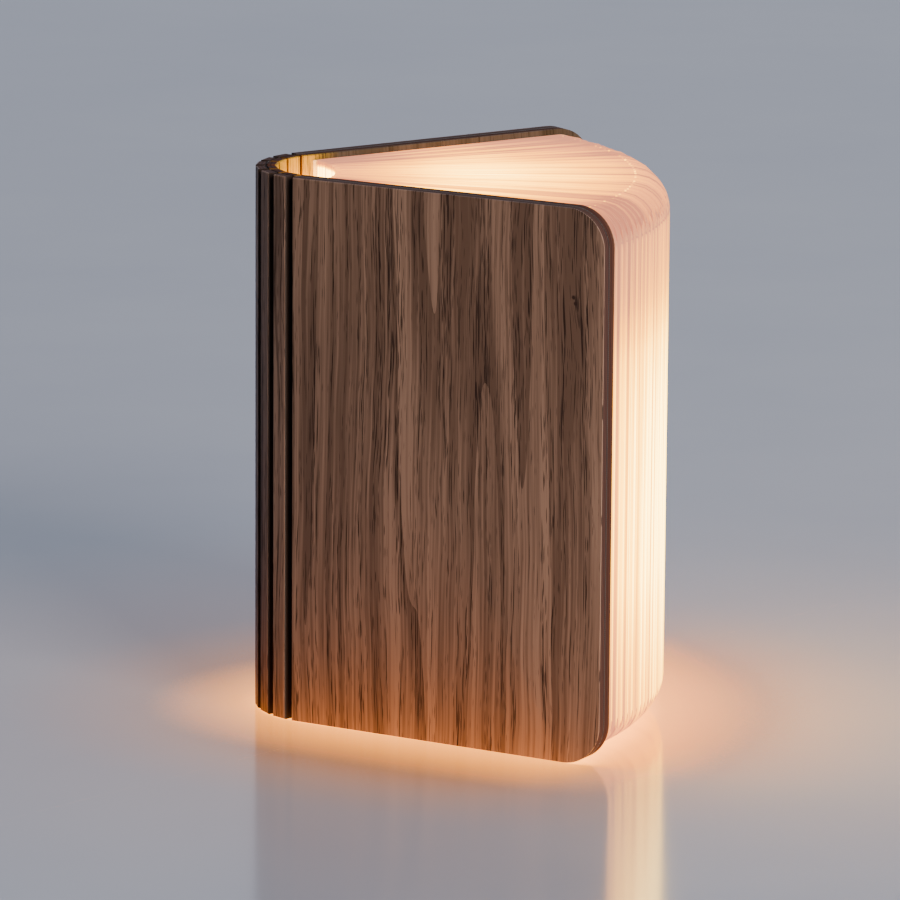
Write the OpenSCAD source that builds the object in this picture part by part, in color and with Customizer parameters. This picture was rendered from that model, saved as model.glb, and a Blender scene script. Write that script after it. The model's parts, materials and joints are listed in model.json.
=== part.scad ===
// Folding book lamp: two laminated wooden covers joined by a kerfed slat spine,
// with a pleated paper page block that fans out round a light core.
// It stands on z = 0. +Z runs up the spine, +X points from the spine to the
// fore-edge, and the front cover is on the -Y side. The origin is the middle
// of the foot of the bounding box.

/* [Covers] */
// Height of the covers and of the spine
cover_h = 122; // [100:1:180]
// Width of each cover, from its spine edge to its fore-edge
cover_w = 77.5; // [66:0.5:120]
// Thickness of the laminated board, with its cloth
board_t = 4.7; // [3.8:0.1:5.4]
// Radius of the two fore-edge corners of a cover
corner_r = 8.8; // [3:0.1:20]
// Bevel that eases the outer edges of the boards
arris = 0.3; // [0.1:0.05:0.6]
// Angle between the covers as the lamp stands
open_angle = 63.2; // [50:0.1:75]

/* [Spine] */
// Distance between neighbouring hinge lines
hinge_pitch = 5.2; // [5:0.1:6.5]
// Width of the saw cut between neighbouring slats
kerf = 1.2; // [1.2:0.05:1.6]
// Extra width of the middle cut on the inside, round the core's web
core_kerf_extra = 0.7; // [0.6:0.05:1]
// Thickness of the cloth that the boards hinge on
cloth_t = 0.3; // [0.15:0.05:0.5]

/* [Pages] */
// Distance of the first inner fold from the cover's spine edge
page_inset = 2.8; // [1.5:0.1:6]
// Distance of the pages from the fore-edge of the covers
page_margin = 1.7; // [0.8:0.1:6]
// Distance of the pages from the top and the foot of the covers
page_drop = 1.3; // [0.6:0.1:4]
// How far the middle pleats stand out beyond the end sheets
page_bulge = 1.4; // [0:0.1:3]
// Thickness of the paper
paper_t = 0.16; // [0.1:0.02:0.2]
// Radius of the page corners at the fore-edge
page_corner_r = 7.3; // [3:0.1:18]
// Depth of the rounded outer fold of a pleat
fold_depth = 1.5; // [0.6:0.1:3]

/* [Magnets] */
// Diameter of the cover magnets
magnet_d = 10; // [6:0.5:12]
// Thickness of the magnets
magnet_t = 1.4; // [0.8:0.1:1.6]
// Distance of the cover magnets from the fore-edge
magnet_in = 9; // [8:0.5:14]
// Distance of the cover magnets from the top and the foot
magnet_up = 20; // [16:0.5:34]
// Diameter of the small magnet that trips the switch
trigger_d = 4; // [3:0.5:6]

/* [Light core] */
// Distance of the core's ends from the top and the foot of the spine
core_end = 5; // [4:0.5:12]
// Distance of the core's back from the hinge plane
core_back = 3.7; // [3.6:0.1:4]
// Distance of the core's front from the hinge plane
core_front = 13.2; // [13:0.1:13.6]
// Width of the core
core_w = 10; // [9.6:0.1:10.4]
// Wall of the frosted cover of the core
diffuser_wall = 0.8; // [0.5:0.05:0.9]
// Radius of the frosted cover's front corners
diffuser_r = 2.5; // [1.2:0.1:4]
// Thickness of the rail's web and of the kerf it stands in
web_t = 0.5; // [0.4:0.05:0.5]
// Length of the battery cell
cell_len = 74; // [40:1:76]
// Thickness of the battery cell
cell_t = 4; // [3:0.1:4.2]
// Number of light-emitting chips on each side
led_count = 7; // [3:1:9]

/* [Hidden] */
$fn = 64;
front = -1;                     // side of the front cover
back = 1;                       // side of the back cover
bends = 7;                      // hinge lines across the spine
half_bend = (180 - open_angle) / bends / 2;
half_open = open_angle / 2;
cover_slot = 3;                 // hinge line, counted from the middle, that carries a cover
half_t = board_t / 2;
half_cloth = cloth_t / 2;
fit = 0.05;                     // clearance of a part in its pocket
seat = 0.01;                    // clearance under a round part that lies on a flat one

// Heading of the board that starts at hinge line n, counted from the middle
function heading(n) = 90 - half_bend * (2 * n + 1);
// Place of hinge line n on the back side, with the middle hinge at [0, 0]
function hinge(n) = n == 0 ? [0, 0]
    : hinge(n - 1) + hinge_pitch * [cos(heading(n - 1)), sin(heading(n - 1))];

// Depth of the pleats, from inner fold to outer fold
page_depth = cover_w - page_inset - page_margin;
// The fan of pages radiates from the line where the covers' inner faces meet
inner_x = hinge(cover_slot).x + half_t * sin(half_open);
inner_y = hinge(cover_slot).y - half_t * cos(half_open);
fan_x = inner_x - inner_y / tan(half_open);
fan_in = inner_y / sin(half_open) + kerf / 2 + page_inset;
function fold_in(a) = fan_in + page_bulge * cos(90 * a / half_open);
function fold_out(a) = fold_in(a) + page_depth;
function fan_point(r, a) = [fan_x + r * cos(a), r * sin(a)];
fan_steps = 7;                  // pleat groups from the middle leaf to a cover, in half groups
fan_step = half_open / fan_steps;
half_paper = paper_t / 2;
page_h = cover_h - 2 * page_drop;
pleats_per_step = 3;
pleat_leg = 0.25;               // share of a pleat's width where its sheets meet the inner folds
pleat_fold = 0.3;               // share of a pleat's width on each side of its outer fold
fold_turn = 36;                 // angle between two points of an outer fold

// The middle of the bounding box, along x
spine_back = (kerf / 2 + arris) * cos(heading(0)) - half_t * sin(heading(0));
fore_edge = fan_x + fold_out(0);
centre_x = (spine_back + fore_edge) / 2;

// Inside the light core
core_h = cover_h - 2 * core_end;
rail_t = 1;
rail_half = 3.4;
web_foot = half_cloth / cos(half_bend) + web_t / 2 * tan(half_bend) + seat;
lip_in = 2.6;                   // half the slot between the diffuser's lips
cap_t = 1.2;
inside_x = core_back + rail_t;
inside_front = core_front - diffuser_wall;
cell_w = inside_front - inside_x - 2 * fit;
middle_x = (inside_x + inside_front) / 2;

// The charging socket stands on the foot of the control board, which stands below the cell
socket_w = 7.4;
socket_t = 2.8;
socket_depth = 5.6;
socket_wall = 0.3;
tongue_w = 4;
tongue_t = 0.6;
port_play = 0.1;                // clearance of the socket in the bottom cap
pcb_t = 0.8;
board_len = 17.4;
board_foot = core_end + socket_depth;
board_top = board_foot + board_len;
chip_w = 4;
chip_t = 1;
chip_up = 3.4;                  // from the foot of the board to the charge chip
sensor_w = 3;
sensor_h = 1.5;
sensor_t = 1.1;
sensor_down = 7.5;              // from the top of the board to the magnet sensor
cell_up = 2;                    // from the top of the board to the cell
cell_z = board_top + cell_up;

// The leads and the boards of light-emitting chips
lead_d = 1;
lead_pitch = 2.4;
lead_lap = 4;                   // length of a lead that is soldered to the board
bridge_d = 0.8;
bridge_pitch = 5.6;
bridge_down = 1;                // from the top of the board to the bridging leads
led_t = 0.8;
led_w = 3;
led_ends = 7;                   // from the foot of the core to the led boards
led_top = 4;
led_board_w = inside_front - inside_x - diffuser_wall - 3 * fit;
led_board_x = inside_x + diffuser_wall + fit;
led_board_z = core_end + led_ends;
led_board_h = cover_h - core_end - led_top - led_board_z;
led_step = led_board_h / led_count;

// ---------- lines ----------

function unit(v) = v / norm(v);
function normal(v) = [-v.y, v.x];
// Point i of a line, moved sideways by d and mitred at its bend
function beside(line, i, d) =
    let (last = len(line) - 1,
         before = normal(unit(line[max(i, 1)] - line[max(i, 1) - 1])),
         after = normal(unit(line[min(i, last - 1) + 1] - line[min(i, last - 1)])))
    line[i] + d * (before + after) / (1 + before * after);

// ---------- placing ----------

// Moves the spine frame, with the middle hinge at x = 0, to the row's origin
module on_spine() {
    translate([-centre_x, 0, 0]) children();
}

// Places a child drawn along +X from hinge line n, with the lamp's outside on +Y
module on_board(side, n) {
    on_spine()
        if (side == front)
            mirror([0, 1, 0]) translate(hinge(n)) rotate([0, 0, heading(n)]) children();
        else
            translate(hinge(n)) rotate([0, 0, heading(n)]) children();
}

// Places a leaf drawn along +X from its inner fold, at fan angle a
module on_fan(a) {
    on_spine() translate([fan_x, 0, 0]) rotate([0, 0, a]) translate([fold_in(a), 0, 0])
        children();
}

// Turns an outline drawn in x and z into a plate of thickness t from y = y0
module plate(y0, t) {
    translate([0, y0 + t, 0]) rotate([90, 0, 0]) linear_extrude(t) children();
}

// ---------- boards ----------

// A strip of board from x0 to x1, with eased edges on its y1 face
module strip(x0, x1, y0, y1) {
    e = arris * sign(y1 - y0);
    intersection() {
        linear_extrude(cover_h) polygon([
            [x0, y0], [x1, y0], [x1, y1 - e], [x1 - arris, y1], [x0 + arris, y1], [x0, y1 - e]
        ]);
        translate([x0 - 1, 0, 0]) rotate([90, 0, 90]) linear_extrude(x1 - x0 + 2) polygon([
            [y0, 0], [y1 - e, 0], [y1, arris], [y1, cover_h - arris],
            [y1 - e, cover_h], [y0, cover_h]
        ]);
    }
}

// Outline of a cover, with its two fore-edge corners rounded
module cover_outline(x0, x1, r) {
    difference() {
        translate([x0, 0]) square([x1 - x0, cover_h]);
        for (z = [0, cover_h])
            difference() {
                translate([x1 - r, z == 0 ? -1 : z - r]) square([r + 1, r + 1]);
                translate([x1 - r, z == 0 ? r : z - r]) circle(r);
            }
    }
}

// One of the two boards of a cover, its eased face at y1
module cover_board(y0, y1) {
    intersection() {
        strip(kerf / 2, kerf / 2 + cover_w, y0, y1);
        plate(-half_t, board_t) cover_outline(kerf / 2, kerf / 2 + cover_w, corner_r);
    }
}

module outer_board(side) {
    color("#6a4c3c") on_board(side, cover_slot) cover_board(half_cloth, half_t);
}

// The inner board holds the magnets in pockets that open on the cloth
module inner_board(side, with_trigger) {
    color("#9c8166") on_board(side, cover_slot) difference() {
        cover_board(-half_cloth, -half_t);
        magnet_places() pocket(magnet_d);
        if (with_trigger) trigger_place() pocket(trigger_d);
    }
}

module cover_cloth(side) {
    color("#3b3430") on_board(side, cover_slot)
        plate(-half_cloth, cloth_t) cover_outline(kerf / 2, kerf / 2 + cover_w, corner_r);
}

module outer_slat(side, n) {
    color("#5f4636") on_board(side, n)
        strip(kerf / 2, hinge_pitch - kerf / 2, half_cloth, half_t);
}

// The two slats beside the middle hinge are cut back round the core's web
module inner_slat(side, n) {
    cut = kerf / 2 + (n == 0 ? core_kerf_extra / 2 : 0);
    color("#8d7156") on_board(side, n)
        strip(cut, hinge_pitch - kerf / 2, -half_cloth, -half_t);
}

// Hinge line n counted from the middle, on the front side where n is below 0
function spine_hinge(n) = [hinge(abs(n)).x, sign(n) * hinge(abs(n)).y];
// Where the cloth of the spine meets the cloth of a cover
function cloth_end(side) =
    spine_hinge(side * cover_slot) + kerf / 2 * [cos(half_open), side * sin(half_open)];

// The cloth runs through all the hinge lines, in the middle of the boards
module hinge_cloth() {
    line = [
        cloth_end(front),
        for (n = [-cover_slot : cover_slot]) spine_hinge(n),
        cloth_end(back)
    ];
    last = len(line) - 1;
    color("#2e2926") on_spine() linear_extrude(cover_h) polygon([
        for (i = [0 : last]) beside(line, i, half_cloth),
        for (i = [last : -1 : 0]) beside(line, i, -half_cloth)
    ]);
}

// ---------- magnets ----------

module magnet_places() {
    for (z = [magnet_up, cover_h - magnet_up])
        translate([kerf / 2 + cover_w - magnet_in, -half_cloth, z]) children();
}

module trigger_place() {
    translate([kerf / 2 + page_inset + trigger_d, -half_cloth,
               board_top - sensor_down + sensor_h / 2]) children();
}

module pocket(d) {
    rotate([90, 0, 0]) translate([0, 0, -1]) cylinder(h = magnet_t + fit + 1, d = d + 2 * fit);
}

module magnet(d) {
    translate([0, -fit, 0]) rotate([90, 0, 0]) cylinder(h = magnet_t, d = d);
}

module cover_magnets(side) {
    color("silver") on_board(side, cover_slot) magnet_places() magnet(magnet_d);
}

module trigger_magnet() {
    color("silver") on_board(front, cover_slot) trigger_place() magnet(trigger_d);
}

// ---------- pages ----------

// Outline of a page, from x = 0 at its inner end to x = depth at the fore-edge
module page_outline(depth) {
    r = page_corner_r;
    translate([0, page_drop]) difference() {
        square([depth, page_h]);
        for (z = [0, page_h])
            difference() {
                translate([depth - r, z == 0 ? -1 : z - r]) square([r + 1, r + 1]);
                translate([depth - r, z == 0 ? r : z - r]) circle(r);
            }
    }
}

// A single flat leaf of the accordion, at step k of the fan
module page_leaf(k) {
    color("#f4e6d2") on_fan(k * fan_step)
        plate(-half_paper, paper_t) page_outline(page_depth);
}

// The last sheet on each side is glued flat to the cover
module end_sheet(side) {
    color("#f4e6d2") on_board(side, cover_slot)
        translate([kerf / 2 + page_inset, 0, 0])
            plate(-half_t - paper_t, paper_t) page_outline(page_depth);
}

// Point at share s of the way from the leaf at step k0 to the one at step k1, at radius r,
// with a sheet's thickness and a clearance kept free beside each leaf
function between(k0, k1, s, r) =
    let (free = asin((paper_t + fit) / r))
    fan_point(r, k0 * fan_step + free + s * ((k1 - k0) * fan_step - 2 * free));

// Middle line of pleat i of n: up one sheet, round the outer fold and down the other sheet
function pleat_line(k0, k1, i, n) =
    let (a = (k0 + (k1 - k0) * (i + 0.5) / n) * fan_step)
    [
        between(k0, k1, (i + pleat_leg) / n, fold_in(a)),
        for (t = [0 : fold_turn : 180])
            between(k0, k1, (i + 0.5 - pleat_fold * cos(t)) / n,
                    fold_out(a) - fold_depth * (1 - sin(t))),
        between(k0, k1, (i + 1 - pleat_leg) / n, fold_in(a))
    ];

// A group of pleats from fan step k0 to k1, folded from one strip of paper
module page_pleats(k0, k1) {
    count = pleats_per_step * (k1 - k0);
    line = [for (i = [0 : count - 1]) each pleat_line(k0, k1, i, count)];
    last = len(line) - 1;
    middle = (k0 + k1) / 2 * fan_step;
    reach = fold_out(middle) * sin((k1 - k0) * fan_step);
    color("#f7ead6") intersection() {
        on_spine() translate([0, 0, page_drop]) linear_extrude(page_h) polygon([
            for (i = [0 : last]) beside(line, i, half_paper),
            for (i = [last : -1 : 0]) beside(line, i, -half_paper)
        ]);
        on_fan(middle) translate([-fold_depth - page_bulge, 0, 0])
            plate(-reach, 2 * reach)
                page_outline(page_depth + fold_depth + page_bulge + paper_t);
    }
}

// ---------- light core ----------

// The rail's web stands in the middle kerf, glued to the cloth
module core_rail() {
    color("#e8e6e0") on_spine() {
        translate([web_foot, -web_t / 2, core_end + cap_t])
            cube([core_back + rail_t / 2 - web_foot, web_t, core_h - 2 * cap_t]);
        translate([core_back, -rail_half, core_end]) cube([rail_t, 2 * rail_half, core_h]);
    }
}

// Section of the frosted cover, rounded at the front
module diffuser_section(shrink) {
    half = core_w / 2 - shrink;
    r = diffuser_r - shrink;
    x1 = core_front - shrink;
    union() {
        translate([inside_x + shrink, -half]) square([x1 - r - inside_x - shrink, 2 * half]);
        translate([inside_x + shrink, -half + r])
            square([x1 - inside_x - shrink, 2 * (half - r)]);
        for (y = [-1, 1]) translate([x1 - r, y * (half - r)]) circle(r);
    }
}

module core_diffuser() {
    color("#fffaf0") on_spine() translate([0, 0, core_end]) linear_extrude(core_h)
        difference() {
            diffuser_section(0);
            diffuser_section(diffuser_wall);
            translate([inside_x - 1, -lip_in]) square([diffuser_wall + 2, 2 * lip_in]);
        }
}

// Each cap closes one end of the frosted cover and of the rail
module cap_blank() {
    linear_extrude(cap_t) union() {
        diffuser_section(0);
        translate([core_back, -rail_half]) square([rail_t + 1, 2 * rail_half]);
    }
}

module core_top_cap() {
    color("#efece4") on_spine() translate([0, 0, cover_h - core_end]) cap_blank();
}

module core_bottom_cap() {
    color("#efece4") on_spine() translate([0, 0, core_end - cap_t]) difference() {
        cap_blank();
        translate([middle_x - socket_w / 2 - port_play, -socket_t / 2 - port_play, -1])
            cube([socket_w + 2 * port_play, socket_t + 2 * port_play, cap_t + 2]);
    }
}

module battery_cell() {
    color("#9fb4c7") on_spine() translate([inside_x, -cell_t / 2, cell_z])
        cube([cell_w, cell_t, cell_len]);
}

module battery_leads() {
    color("#b3261e") on_spine()
        for (x = [-0.5, 0.5])
            translate([middle_x + x * lead_pitch, pcb_t / 2 + lead_d / 2 + seat,
                       board_top - lead_lap])
                cylinder(h = lead_lap + cell_up, d = lead_d);
}

module control_board() {
    color("#1f5a3a") on_spine()
        translate([inside_x, -pcb_t / 2, board_foot]) cube([cell_w, pcb_t, board_len]);
}

module charge_chip() {
    color("#222222") on_spine()
        translate([middle_x - chip_w / 2, pcb_t / 2, board_foot + chip_up])
            cube([chip_w, chip_t, chip_w]);
}

module magnet_sensor() {
    color("#222222") on_spine()
        translate([middle_x - sensor_w / 2, -pcb_t / 2 - sensor_t, board_top - sensor_down])
            cube([sensor_w, sensor_t, sensor_h]);
}

// The socket's mouth faces down through the bottom cap, and its back wall meets the board
module charging_socket() {
    mouth_w = socket_w - 2 * socket_wall;
    mouth_t = socket_t - 2 * socket_wall;
    color("#c9ccd0") on_spine() translate([middle_x, 0, core_end - cap_t]) difference() {
        translate([-socket_w / 2, -socket_t / 2, 0])
            cube([socket_w, socket_t, socket_depth + cap_t]);
        difference() {
            translate([-mouth_w / 2, -mouth_t / 2, -1])
                cube([mouth_w, mouth_t, socket_depth + cap_t - socket_wall + 1]);
            translate([-tongue_w / 2, -tongue_t / 2, socket_wall])
                cube([tongue_w, tongue_t, socket_depth + cap_t]);
        }
    }
}

module led_board(side) {
    y = side == front ? -cell_t / 2 - pcb_t : cell_t / 2;
    color("#f2f2ee") on_spine() translate([led_board_x, y, led_board_z])
        cube([led_board_w, pcb_t, led_board_h]);
}

module leds(side) {
    y = side == front ? -cell_t / 2 - pcb_t - led_t : cell_t / 2 + pcb_t;
    color("#ffd64a") on_spine()
        for (i = [0 : led_count - 1])
            translate([led_board_x + (led_board_w - led_w) / 2, y,
                       led_board_z + (i + 0.5) * led_step - led_w / 2])
                cube([led_w, led_t, led_w]);
}

// Short leads bridge from the control board to both boards of chips
module led_leads() {
    color("#c9a227") on_spine()
        for (side = [front, back], x = [-0.5, 0.5])
            translate([middle_x + x * bridge_pitch, side * (pcb_t + cell_t) / 4,
                       board_top - bridge_down])
                rotate([90, 0, 0])
                    cylinder(h = (cell_t - pcb_t) / 2, d = bridge_d, center = true);
}

// ---------- all nodes ----------

outer_board(front);  // front_cover_outer
inner_board(front, true);  // front_cover_inner
cover_cloth(front);  // front_cover_cloth
outer_board(back);  // back_cover_outer
inner_board(back, false);  // back_cover_inner
cover_cloth(back);  // back_cover_cloth
outer_slat(front, 2);  // slat_1_outer
outer_slat(front, 1);  // slat_2_outer
outer_slat(front, 0);  // slat_3_outer
outer_slat(back, 0);  // slat_4_outer
outer_slat(back, 1);  // slat_5_outer
outer_slat(back, 2);  // slat_6_outer
inner_slat(front, 2);  // slat_1_inner
inner_slat(front, 1);  // slat_2_inner
inner_slat(front, 0);  // slat_3_inner
inner_slat(back, 0);  // slat_4_inner
inner_slat(back, 1);  // slat_5_inner
inner_slat(back, 2);  // slat_6_inner
hinge_cloth();
cover_magnets(front);  // front_cover_magnets
cover_magnets(back);  // back_cover_magnets
trigger_magnet();
end_sheet(front);  // front_end_sheet
page_leaf(-5);  // page_leaf_1
page_leaf(-3);  // page_leaf_2
page_leaf(-1);  // page_leaf_3
page_leaf(0);  // page_leaf_4
page_leaf(1);  // page_leaf_5
page_leaf(3);  // page_leaf_6
page_leaf(5);  // page_leaf_7
end_sheet(back);  // back_end_sheet
page_pleats(-7, -5);  // page_pleats_1
page_pleats(-5, -3);  // page_pleats_2
page_pleats(-3, -1);  // page_pleats_3
page_pleats(-1, 0);  // page_pleats_4
page_pleats(0, 1);  // page_pleats_5
page_pleats(1, 3);  // page_pleats_6
page_pleats(3, 5);  // page_pleats_7
page_pleats(5, 7);  // page_pleats_8
core_rail();
core_diffuser();
core_top_cap();
core_bottom_cap();
battery_cell();
battery_leads();
control_board();
charge_chip();
magnet_sensor();
charging_socket();
led_board(front);  // front_led_board
led_board(back);  // back_led_board
leds(front);  // front_leds
leds(back);  // back_leds
led_leads();
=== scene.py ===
import json
from math import asin, atan2, cos, pi, radians, sin, tan

import bmesh
import bpy
from mathutils import Matrix, Vector

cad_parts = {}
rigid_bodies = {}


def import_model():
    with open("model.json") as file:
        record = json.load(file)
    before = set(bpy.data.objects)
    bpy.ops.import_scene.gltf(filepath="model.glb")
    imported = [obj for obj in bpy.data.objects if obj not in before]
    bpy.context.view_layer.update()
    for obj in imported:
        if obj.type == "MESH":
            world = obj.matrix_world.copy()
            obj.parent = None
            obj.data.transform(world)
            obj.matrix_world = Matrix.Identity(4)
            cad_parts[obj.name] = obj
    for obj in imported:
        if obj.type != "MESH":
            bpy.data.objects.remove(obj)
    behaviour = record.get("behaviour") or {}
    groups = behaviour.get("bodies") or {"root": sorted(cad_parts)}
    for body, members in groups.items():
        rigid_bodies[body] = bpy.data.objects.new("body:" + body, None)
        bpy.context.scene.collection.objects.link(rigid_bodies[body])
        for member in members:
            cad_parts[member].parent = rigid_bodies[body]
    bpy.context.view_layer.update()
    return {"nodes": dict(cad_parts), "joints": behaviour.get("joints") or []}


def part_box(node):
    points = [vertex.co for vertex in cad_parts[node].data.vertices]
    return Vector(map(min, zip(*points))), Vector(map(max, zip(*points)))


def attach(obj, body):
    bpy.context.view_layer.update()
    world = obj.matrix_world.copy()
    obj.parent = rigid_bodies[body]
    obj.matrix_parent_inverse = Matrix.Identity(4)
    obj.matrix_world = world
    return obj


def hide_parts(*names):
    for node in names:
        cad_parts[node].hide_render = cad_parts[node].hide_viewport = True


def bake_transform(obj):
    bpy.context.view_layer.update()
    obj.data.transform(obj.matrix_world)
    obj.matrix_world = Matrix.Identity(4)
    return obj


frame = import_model()
MM = 0.001

# ---- Camera ----
# A long lens, a little above the lamp and turned a few degrees past its axis.
CAMERA_PLACE = Vector((-49.36, -1493.94, 384.34)) * MM
CAMERA_AZIMUTH = -1.805
CAMERA_ELEVATION = 12.321
CAMERA_ROLL = 0.394
CAMERA_LENS_MM = 275.64


def add_object(name, data):
    """Makes an object of its data, in the scene."""
    made = bpy.data.objects.new(name, data)
    bpy.context.scene.collection.objects.link(made)
    return made


camera = add_object("camera", bpy.data.cameras.new("camera"))
camera.data.lens = CAMERA_LENS_MM
camera.data.sensor_width = 36
camera.matrix_world = (
    Matrix.Translation(CAMERA_PLACE)
    @ Matrix.Rotation(radians(CAMERA_AZIMUTH), 4, "Z")
    @ Matrix.Rotation(radians(90 - CAMERA_ELEVATION), 4, "X")
    @ Matrix.Rotation(radians(CAMERA_ROLL), 4, "Z")
)
bpy.context.scene.camera = camera


# ---- Table top ----
# A plain pale top of milky acrylic. Close round the lamp's foot it has a painted glow and
# a painted shade, where the lamp hides its sky, and its polish mirrors the lamp softly.
HALF_FLOOR = 6.0
FLOOR_GAP = 0.02 * MM            # keeps the table top just clear of the lamp's foot
# Colours of the painted glow and of the painted shade round the lamp's foot
FOOT_GLOW = "#FF9C38"
PAINTED_FOOT_SHADE = "#7E3404"
FOOT_GLOW_PARTS = (              # how far each part of the painted glow reaches, and how strong it is
    (150 * MM, 0.5),
    (26 * MM, 4.2),
    (60 * MM, 1.1),
)
FULL_SHADE = 0.42                # the share of hidden sky that gives the foot's painted shade in full


def colour(hex_code):
    """Turns an sRGB hex code to the linear RGBA that a shader wants."""
    channels = [int(hex_code[i:i + 2], 16) / 255 for i in (1, 3, 5)]
    linear = [c / 12.92 if c <= 0.04045 else ((c + 0.055) / 1.055) ** 2.4 for c in channels]
    return (*linear, 1)


def feed(node, inputs):
    """Sets or links a node's inputs. A node among the values stands for its first output."""
    for socket, value in inputs.items():
        if isinstance(value, bpy.types.Node):
            value = value.outputs[0]
        if isinstance(value, bpy.types.NodeSocket):
            node.id_data.links.new(value, node.inputs[socket])
        else:
            node.inputs[socket].default_value = value


def add_node(tree, kind, inputs=None, **settings):
    """Adds a node with its settings, and sets or links its inputs.

    Inputs that share a name go by number: 6 and 7 are the two colours of a Mix, and 1 to 4 are
    the ends of a Map Range, first of what comes in and then of what goes out.
    """
    node = tree.nodes.new(kind)
    for name, value in settings.items():
        setattr(node, name, value)
    feed(node, inputs or {})
    return node


def new_finish(name, sockets):
    """Starts a material, and gives it with its node tree and its shader."""
    finish = bpy.data.materials.new(name)
    finish.use_nodes = True
    shader = finish.node_tree.nodes["Principled BSDF"]
    feed(shader, sockets)
    return finish, finish.node_tree, shader


def set_stops(ramp, stops):
    """Gives a colour ramp its (place, hex colour) stops."""
    elements = ramp.color_ramp.elements
    while len(elements) < len(stops):
        elements.new(1)
    for element, (place, code) in zip(elements, stops):
        element.position = place
        element.color = colour(code)


# Opal acrylic: an even pale grey, with gloss that varies by a few per cent. Where something
# standing on it hides the sky it gets a painted glow, and a painted amber shade as far as the last
# part reaches
acrylic, tree, shader = new_finish(
    "opal_acrylic", {"IOR": 1.49, "Emission Color": colour(FOOT_GLOW)})
place = add_node(tree, "ShaderNodeTexCoord").outputs["Object"]
mottle = add_node(tree, "ShaderNodeTexNoise", {"Vector": place, "Scale": 9.0, "Detail": 3.0})
tint = add_node(tree, "ShaderNodeValToRGB", {"Fac": mottle.outputs["Fac"]})
set_stops(tint, [(0.3, "#B9BDC8"), (0.7, "#C3C6CF")])
gloss = add_node(tree, "ShaderNodeMapRange", {"Value": mottle.outputs["Fac"], 3: 0.1, 4: 0.15})
glow = 0.0
for reach, strength in FOOT_GLOW_PARTS:
    sky = add_node(tree, "ShaderNodeAmbientOcclusion", {"Distance": reach}, samples=8)
    near = add_node(tree, "ShaderNodeMath", {0: 1.0, 1: sky.outputs["AO"]}, operation="SUBTRACT")
    glow = add_node(tree, "ShaderNodeMath", {0: near, 1: strength, 2: glow},
                    operation="MULTIPLY_ADD")
# The painted shade follows the last part's reach
shade = add_node(tree, "ShaderNodeMapRange", {"Value": near, 1: 0.0, 2: FULL_SHADE},
                 interpolation_type="SMOOTHSTEP")
body = add_node(tree, "ShaderNodeMix", {0: shade, 6: tint, 7: colour(PAINTED_FOOT_SHADE)},
                data_type="RGBA")
feed(shader, {"Base Color": body.outputs[2], "Roughness": gloss, "Emission Strength": glow})
acrylic.cycles.emission_sampling = "NONE"

floor_mesh = bpy.data.meshes.new("table_top")
floor_mesh.from_pydata(
    [(x * HALF_FLOOR, y * HALF_FLOOR, -FLOOR_GAP)
     for x, y in ((-1, -1), (1, -1), (1, 1), (-1, 1))],
    [], [(0, 1, 2, 3)],
)
floor_mesh.materials.append(acrylic)
table_top = add_object("table_top", floor_mesh)


# ---- Studio light ----
# A dim cool room, darkest at the left front, with one broad soft light at the
# right front, so that the lamp's own light leads and the spine turns into shade.
ROOM_COLOURS = [                 # from the left front to the right back
    (0.0, "#120F0E"), (0.42, "#2C3340"), (0.62, "#9AA4BC"), (1.0, "#D2D7E4"),
]
DARK_TO_LIGHT = (0.7, 0.7, 0.14)     # the way across the room
AIM = Vector((0, 0, 60)) * MM    # the lamp's middle, which the lights face

world = bpy.data.worlds.new("room")
world.use_nodes = True
room = world.node_tree.nodes["Background"]
way = add_node(world.node_tree, "ShaderNodeTexCoord").outputs["Generated"]
across = add_node(world.node_tree, "ShaderNodeVectorMath", {0: way, 1: DARK_TO_LIGHT},
                  operation="DOT_PRODUCT").outputs["Value"]
across = add_node(world.node_tree, "ShaderNodeMapRange", {"Value": across, 1: -1.0, 2: 1.0})
walls = add_node(world.node_tree, "ShaderNodeValToRGB", {"Fac": across})
set_stops(walls, ROOM_COLOURS)
feed(room, {"Color": walls})
bpy.context.scene.world = world


def add_softbox(name, place, size, watts, code):
    """A square area light that faces the lamp."""
    light = bpy.data.lights.new(name, "AREA")
    light.size = size
    light.energy = watts
    light.color = colour(code)[:3]
    softbox = add_object(name, light)
    softbox.location = place
    softbox.rotation_euler = (AIM - Vector(place)).to_track_quat("-Z", "Y").to_euler()


add_softbox("key_light", place=(1.25, -1.9, 0.8), size=1.2, watts=70, code="#FFF1E6")
add_softbox("fill_light", place=(1.7, -0.6, 1.2), size=1.4, watts=4, code="#EEF2FF")


# ---- Light core ----
# A white moulded rail with a cap at each end, and a frosted cover that clips
# over the cell, the control board and two boards of light-emitting chips.
CORE_GLOW = ("#FF9030", "#FFB458")    # between two chips, and in front of one
CORE_GLOW_STRENGTH = 8.0
BETWEEN_CHIPS = 0.8              # how far the warmer colour gives way even between the chips
LED_GLOW = ("#FFC27A", "#FFDDA6")
LED_GLOW_STRENGTH = 16.0
LED_COUNT = 7
LED_SIZE = 3 * MM

lowest_led, highest_led = (corner[2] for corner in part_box("front_leds"))
first_led = lowest_led + LED_SIZE / 2
led_pitch = (highest_led - lowest_led - LED_SIZE) / (LED_COUNT - 1)


def dress(node, finish):
    """Gives a CAD node its finish."""
    for slot in frame["nodes"][node].material_slots:
        slot.material = finish


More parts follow.
